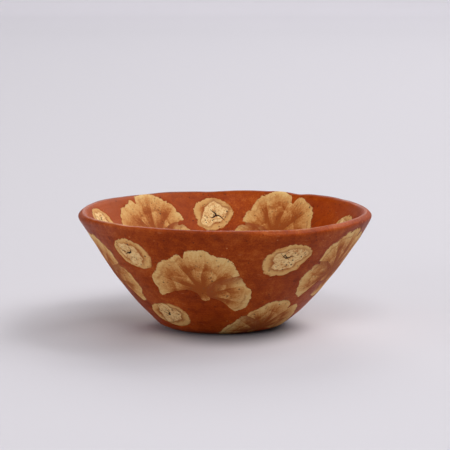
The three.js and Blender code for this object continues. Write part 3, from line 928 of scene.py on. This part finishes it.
def cream_leaf():
    g = Graph("cream_leaf_clay")
    p = g.place()
    fan = g.split(g.attribute("own_fan").outputs["Vector"])
    xy = g.split(g.attribute("own_xy").outputs["Vector"])
    seed = xy[2]
    shift = g.math("MULTIPLY", seed, 7.3)
    grit = g.math("SUBTRACT", g.noise(p, 2300, 3, 0.65), 0.5)
    # the pressed clay is never quite true: angle and share wander
    angle = g.madd(g.math("SUBTRACT", g.noise(p, 150, 2, 0.5), 0.5), 0.34, fan[1])
    share = g.madd(g.math("SUBTRACT", g.noise(p, 190, 3, 0.55), 0.5), 0.30, fan[0])
    gap = fan[2]
    # rust at the stalk and cream at the margin, with one soft step on the way
    reach = g.noise(g.join(g.math("MULTIPLY", angle, 1.7), g.math("MULTIPLY", seed, 3.3), 0.0), 1.0, 1, 0.5)
    reach = g.madd(g.math("SUBTRACT", reach, 0.5), 0.55, 0.54)
    past = g.math("SUBTRACT", share, reach)
    outer = g.between(past, -0.045, 0.030)
    within = g.math("DIVIDE", share, reach)
    beyond = g.math("POWER", g.math("MAXIMUM", g.math("DIVIDE", past, g.math("SUBTRACT", 1.02, reach)), 0.001), 0.62)
    # broad folds: each is light at its edge and goes rust towards the next, with fine veins along them
    turn = g.math("FRACT", g.madd(angle, 1.55, g.math("MULTIPLY", seed, 3.17)))
    fold = g.math("MULTIPLY", g.between(turn, 0.0, 0.75, 1.0, 0.0), g.between(turn, 0.93, 1.0, 1.0, 0.0))
    fold = g.math("MULTIPLY", fold, g.between(share, 0.40, 0.98, 1.0, 0.05))
    broad = g.noise(g.join(g.math("MULTIPLY", angle, 4.0), g.math("MULTIPLY", share, 0.9), shift), 1.0, 3, 0.55)
    veins = g.noise(g.join(g.math("MULTIPLY", angle, 24.0), g.math("MULTIPLY", share, 1.6), shift), 1.0, 4, 0.62)
    fibre = g.noise(g.join(g.math("MULTIPLY", angle, 80.0), g.math("MULTIPLY", share, 4.0), shift), 1.0, 3, 0.6)
    k = g.madd(g.math("SUBTRACT", 1.0, outer), g.math("MULTIPLY", within, 0.92), g.math("MULTIPLY", outer, g.madd(beyond, 0.78, 0.14)))
    k = g.madd(k, 0.48, g.math("MULTIPLY", share, 0.52))
    k = g.madd(g.math("SUBTRACT", broad, 0.5), 0.62, k)
    k = g.madd(g.math("SUBTRACT", veins, 0.5), 0.38, k)
    k = g.madd(fold, -0.38, g.math("ADD", k, 0.035))
    k = g.math("ADD", k, g.between(xy[1], -3.6, 0.6, 0.24, 0.0))
    about = g.attribute("round_about").outputs["Vector"]
    k = g.madd(g.between(g.split(about)[2], -2.0, 1.5, 1.0, 0.0), -0.05, k)
    k, fine, coarse = crumbs_on(g, p, g.madd(grit, 0.46, k), 0.36, 0.34)
    colour = g.ramp(k, [(0.24, RUST), (0.46, TERRACOTTA), (0.64, TAN), (0.84, CREAM), (1.0, PALE)])
    # the leaf behind goes rust beside the edge of the one that lies over it
    dusk = g.between(g.madd(g.math("SUBTRACT", veins, 0.5), 1.8, g.madd(g.math("SUBTRACT", coarse, 0.5), 1.2, gap)), 0.0, 3.4, 1.0, 0.0)
    colour = g.mix(g.math("MULTIPLY", dusk, 0.85), colour, (0.28, 0.066, 0.016))
    thread = g.math("MULTIPLY", g.between(fibre, 0.57, 0.72), g.between(share, 0.10, 0.95, 0.55, 0.12))
    colour = g.mix(thread, colour, (0.26, 0.070, 0.020))
    # a thin layer of red runs along inside the margin in places
    off = g.math("ABSOLUTE", g.math("SUBTRACT", g.madd(g.math("SUBTRACT", broad, 0.5), 0.22, fan[0]), 0.86))
    layer = g.math("MULTIPLY", g.between(off, 0.006, 0.040, 1.0, 0.0), g.between(g.noise(p, 120, 2, 0.5), 0.47, 0.60))
    colour = g.mix(g.math("MULTIPLY", layer, 0.50), colour, (0.33, 0.095, 0.022))
    # a soft rust edge in places, where red clay was smeared over the cream
    edge = g.math("MULTIPLY", g.between(fan[0], 0.955, 1.0), g.between(g.noise(p, 210, 3, 0.6), 0.44, 0.60))
    colour = g.mix(g.math("MULTIPLY", edge, 0.60), colour, (0.27, 0.075, 0.020))
    colour = g.mix(g.math("MULTIPLY", specks(g, p, 820, 0.26, 420, 0.47, 0.56), 0.55), colour, (0.20, 0.085, 0.030))
    colour = g.mix(g.math("MULTIPLY", specks(g, p, 520, 0.17, 260, 0.52, 0.60), 0.80), colour, (0.085, 0.034, 0.014))
    # the margin is a little ragged, as torn clay is, with red pressed into its nicks
    nick = g.madd(g.math("SUBTRACT", g.noise(p, 700, 3, 0.65), 0.5), 0.20, g.madd(g.math("SUBTRACT", fine, 0.5), 0.08, fan[0]))
    colour = g.mix(g.between(nick, 0.985, 1.000), colour, RED)
    # painted shade: the pits and cracks go dark
    pit_shade = g.between(g.attribute("pit").outputs["Fac"], 0.08, 0.5)
    colour = g.mix(pit_shade, colour, PIT_PAINTED_SHADE)
    g.put(g.bsdf.inputs["Base Color"], colour)
    g.put(g.bsdf.inputs["Roughness"], g.between(veins, 0.3, 0.7, 0.72, 0.58))
    g.bsdf.inputs["Specular IOR Level"].default_value = 0.10
    clay_relief(g, g.madd(veins, 0.5, g.math("MULTIPLY", fine, 0.5)))
    return g.mat


def cream_pebble():
    g = Graph("cream_pebble_clay")
    p = g.place()
    fan = g.split(g.attribute("own_fan").outputs["Vector"])
    xy = g.split(g.attribute("own_xy").outputs["Vector"])
    share, angle, core, seed = fan[0], fan[1], fan[2], xy[2]
    wobble = g.noise(p, 330, 3, 0.6)
    slow = g.noise(p, 140, 2, 0.5)
    around = g.noise(g.join(g.math("MULTIPLY", g.math("COSINE", angle), 0.9), g.math("MULTIPLY", g.math("SINE", angle), 0.9), g.math("MULTIPLY", seed, 5.1)), 1.0, 2, 0.5)
    # a band of cream outside, rust at its foot on one side more than the other
    k = g.madd(g.math("SUBTRACT", wobble, 0.5), 0.16, g.madd(g.math("SUBTRACT", slow, 0.5), 0.26, g.madd(g.math("SUBTRACT", around, 0.5), 0.55, share)))
    grit = g.math("SUBTRACT", g.noise(p, 2300, 3, 0.65), 0.5)
    k, fine, coarse = crumbs_on(g, p, g.madd(grit, 0.22, k), 0.20, 0.22)
    ring = g.ramp(k, [
        (0.46, RUST), (0.57, TERRACOTTA), (0.66, TAN), (0.75, (0.60, 0.325, 0.108)), (0.84, CREAM), (0.93, (0.64, 0.385, 0.140)), (1.0, TAN),
    ])
    c = g.madd(g.math("SUBTRACT", wobble, 0.5), 0.46, g.madd(g.math("SUBTRACT", fine, 0.5), 0.30, core))
    crumb = g.ramp(g.madd(coarse, 0.5, g.madd(grit, 0.45, g.math("MULTIPLY", fine, 0.5))), [
        (0.34, TERRACOTTA), (0.42, (0.61, 0.340, 0.130)), (0.50, (0.69, 0.440, 0.185)), (0.62, (0.76, 0.545, 0.260)),
    ])
    inward = g.between(g.split(g.attribute("round_about").outputs["Vector"])[2], -2.0, 1.5, 1.0, 0.0)
    crumb = g.mix(inward, crumb, g.mix(1.0, crumb, (1.08, 1.13, 1.18), "MULTIPLY"))
    colour = g.mix(g.between(c, 0.96, 1.04, 1.0, 0.0), ring, crumb)
    rim = g.math("MULTIPLY", g.between(c, 0.98, 1.04), g.between(c, 1.05, 1.32, 1.0, 0.0))
    rim = g.math("MULTIPLY", rim, g.between(around, 0.36, 0.62, 0.10, 0.62))
    colour = g.mix(rim, colour, (0.25, 0.066, 0.018))
    edge = g.math("MULTIPLY", g.between(share, 0.93, 1.0), g.between(g.noise(p, 240, 3, 0.6), 0.42, 0.58))
    colour = g.mix(g.math("MULTIPLY", edge, 0.50), colour, (0.25, 0.068, 0.014))
    colour = g.mix(g.math("MULTIPLY", specks(g, p, 760, 0.26, 420, 0.46, 0.55), 0.6), colour, (0.17, 0.07, 0.028))
    colour = g.mix(g.math("MULTIPLY", specks(g, p, 500, 0.18, 260, 0.50, 0.58), 0.85), colour, (0.07, 0.028, 0.012))
    nick = g.madd(g.math("SUBTRACT", g.noise(p, 760, 3, 0.65), 0.5), 0.30, g.madd(g.math("SUBTRACT", fine, 0.5), 0.12, share))
    colour = g.mix(g.between(nick, 0.980, 1.000), colour, RED)
    # painted shade: the pits and cracks go dark
    pit_shade = g.between(g.attribute("pit").outputs["Fac"], 0.04, 0.34)
    colour = g.mix(pit_shade, colour, PIT_PAINTED_SHADE)
    g.put(g.bsdf.inputs["Base Color"], colour)
    g.put(g.bsdf.inputs["Roughness"], g.between(fine, 0.3, 0.7, 0.76, 0.62))
    g.bsdf.inputs["Specular IOR Level"].default_value = 0.13
    clay_relief(g, g.madd(coarse, 0.8, g.math("MULTIPLY", fine, 0.9)))
    return g.mat


MATERIALS = {"red": red_clay(), "leaf": cream_leaf(), "pebble": cream_pebble()}

pieces = []
body = mesh_piece("red_clay_wall", np.flatnonzero(tri_label[:, 0] == -1), MATERIALS["red"], None)
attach(body, "root")
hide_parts("red_clay_body")
pieces.append(body)
for n, sl in enumerate(slices):
    def marks(k, pts, sl=sl):
        if sl["kind"] == "leaf":
            return (*leaf_marks(sl, k, pts), sl["shapes"][k]["seed"])
        return (*pebble_marks(sl, pts), sl["shapes"][0]["seed"])

    piece = mesh_piece(sl["name"].replace("_slice", "_inlay"), np.flatnonzero(tri_label[:, 0] == n), MATERIALS[sl["kind"]], marks)
    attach(piece, "root")
    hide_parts(sl["name"])
    pieces.append(piece)


# ---------------------------------------------------------------- studio: a pale floor that curves up far away
def studio():
    rings = [(0.0, 0.0), (0.3, 0.0), (1.0, 0.0), (3.4, 0.0)]
    for k in range(1, 15):
        a = math.radians(90 * k / 14)
        rings.append((3.4 + 2.2 * math.sin(a), 2.2 * (1 - math.cos(a))))
    around = 96
    verts = [(0.0, 0.0, 0.0)]
    for r, z in rings[1:]:
        verts += [(r * math.cos(2 * math.pi * i / around), r * math.sin(2 * math.pi * i / around), z) for i in range(around)]
    faces = [(0, 1 + i, 1 + (i + 1) % around) for i in range(around)]
    for j in range(len(rings) - 2):
        p, q = 1 + j * around, 1 + (j + 1) * around
        faces += [(p + i, q + i, q + (i + 1) % around, p + (i + 1) % around) for i in range(around)]
    mesh = bpy.data.meshes.new("studio_floor")
    mesh.from_pydata(verts, [], faces)
    mesh.polygons.foreach_set("use_smooth", np.ones(len(faces), bool))
    mat = bpy.data.materials.new("studio_floor")
    mat.use_nodes = True
    nodes, links = mat.node_tree.nodes, mat.node_tree.links
    b = nodes["Principled BSDF"]
    # painted light and shade: the floor is a little darker about 1.4 m out, and the far backdrop paler and a little
    # cooler than the floor near by
    far, fade = nodes.new("ShaderNodeVectorMath"), nodes.new("ShaderNodeValToRGB")
    far.operation = "LENGTH"
    links.new(nodes.new("ShaderNodeTexCoord").outputs["Object"], far.inputs[0])
    scale = nodes.new("ShaderNodeMath")
    scale.operation, scale.inputs[1].default_value = "MULTIPLY", 0.25
    links.new(far.outputs["Value"], scale.inputs[0])
    links.new(scale.outputs[0], fade.inputs[0])
    fade.color_ramp.elements.new(0.5)
    for stop, at, colour in zip(fade.color_ramp.elements, (0.06, 0.35, 0.50), ((0.560, 0.548, 0.583, 1), (0.530, 0.520, 0.558, 1), (0.60, 0.585, 0.635, 1))):
        stop.position, stop.color = at, colour
    # and a painted contact shadow: darker close in front of the foot, under the cup's own overhang
    off, wide, near, shade, tone = (nodes.new("ShaderNodeVectorMath"), nodes.new("ShaderNodeVectorMath"), nodes.new("ShaderNodeVectorMath"), nodes.new("ShaderNodeMapRange"), nodes.new("ShaderNodeVectorMath"))
    off.operation, wide.operation, near.operation, tone.operation = "SUBTRACT", "MULTIPLY", "LENGTH", "SCALE"
    off.inputs[1].default_value, wide.inputs[1].default_value = (0.001, -0.005, 0), (1.5, 1, 1)
    shade.interpolation_type = "SMOOTHSTEP"
    for k, x in (("From Min", 0.015), ("From Max", 0.0345), ("To Min", 0.42), ("To Max", 1.0)):
        shade.inputs[k].default_value = x
    links.new(nodes.new("ShaderNodeTexCoord").outputs["Object"], off.inputs[0])
    links.new(off.outputs["Vector"], wide.inputs[0])
    links.new(wide.outputs["Vector"], near.inputs[0])
    links.new(near.outputs["Value"], shade.inputs["Value"])
    links.new(fade.outputs[0], tone.inputs[0])
    links.new(shade.outputs[0], tone.inputs["Scale"])
    links.new(tone.outputs["Vector"], b.inputs["Base Color"])
    # the far backdrop glows, as painted light, so that low views have a pale ground too
    glow = nodes.new("ShaderNodeValToRGB")
    links.new(scale.outputs[0], glow.inputs[0])
    glow.color_ramp.elements.new(0.5)
    for stop, at, colour in zip(glow.color_ramp.elements, (0.41, 0.51, 0.88), ((0, 0, 0, 1), (0.125, 0.123, 0.128, 1), (0.30, 0.295, 0.31, 1))):
        stop.position, stop.color = at, colour
    links.new(glow.outputs[0], b.inputs["Emission Color"])
    b.inputs["Emission Strength"].default_value = 1.0
    b.inputs["Roughness"].default_value = 0.75
    b.inputs["Specular IOR Level"].default_value = 0.2
    mesh.materials.append(mat)
    floor = bpy.data.objects.new("studio_floor", mesh)
    bpy.context.scene.collection.objects.link(floor)


studio()


def soft_light(name, where, aim, size, power, colour):
    data = bpy.data.lights.new(name, "AREA")
    data.shape, data.size, data.size_y = "RECTANGLE", size[0], size[1]
    data.energy, data.color = power, colour
    light = bpy.data.objects.new(name, data)
    bpy.context.scene.collection.objects.link(light)
    light.location = where
    light.rotation_euler = (Vector(aim) - Vector(where)).to_track_quat("-Z", "Y").to_euler()
    return light


def round_light(name, around, up, power, height=1.0):
    """A soft light 2.2 m away: degrees round (0 at the right, 270 at the front) and degrees up."""
    a, e = math.radians(around), math.radians(up)
    where = (2.2 * math.cos(e) * math.cos(a), 2.2 * math.cos(e) * math.sin(a), 2.2 * math.sin(e))
    light = soft_light(name, where, (0, 0, 0.02), (1.0, height), power, (1.0, 0.985, 0.99))
    light.visible_camera = False


round_light("left_low", 180, 14, 8.2, 0.8)
round_light("front_left_low", 225, 14, 9.4, 0.8)
round_light("back_right", 45, 32, 7.9)
round_light("back", 90, 32, 13.2)
round_light("right", 0, 50, 16.7)
round_light("right_high", 45, 50, 11.0)
round_light("front", 270, 50, 17.3)
round_light("front_right", 315, 50, 12.4)

world = bpy.data.worlds.new("studio")
bpy.context.scene.world = world
world.use_nodes = True
world.node_tree.nodes["Background"].inputs[0].default_value = (1.0, 0.985, 1.0, 1)
world.node_tree.nodes["Background"].inputs[1].default_value = 0.02

# ---------------------------------------------------------------- camera
cam_data = bpy.data.cameras.new("camera")
cam_data.sensor_width, cam_data.lens = 36.0, 191.88
cam_data.clip_start, cam_data.clip_end = 0.01, 20.0
camera = bpy.data.objects.new("camera", cam_data)
bpy.context.scene.collection.objects.link(camera)
elevation = math.radians(8.8)
camera.location = (0.0, -0.650 * math.cos(elevation), 0.01645 + 0.650 * math.sin(elevation))
camera.rotation_euler = (Vector((-0.00019, 0, 0.02729)) - camera.location).to_track_quat("-Z", "Y").to_euler()
bpy.context.scene.camera = camera
bpy.context.scene.view_settings.view_transform = "Standard"
bpy.context.scene.view_settings.look = "None"
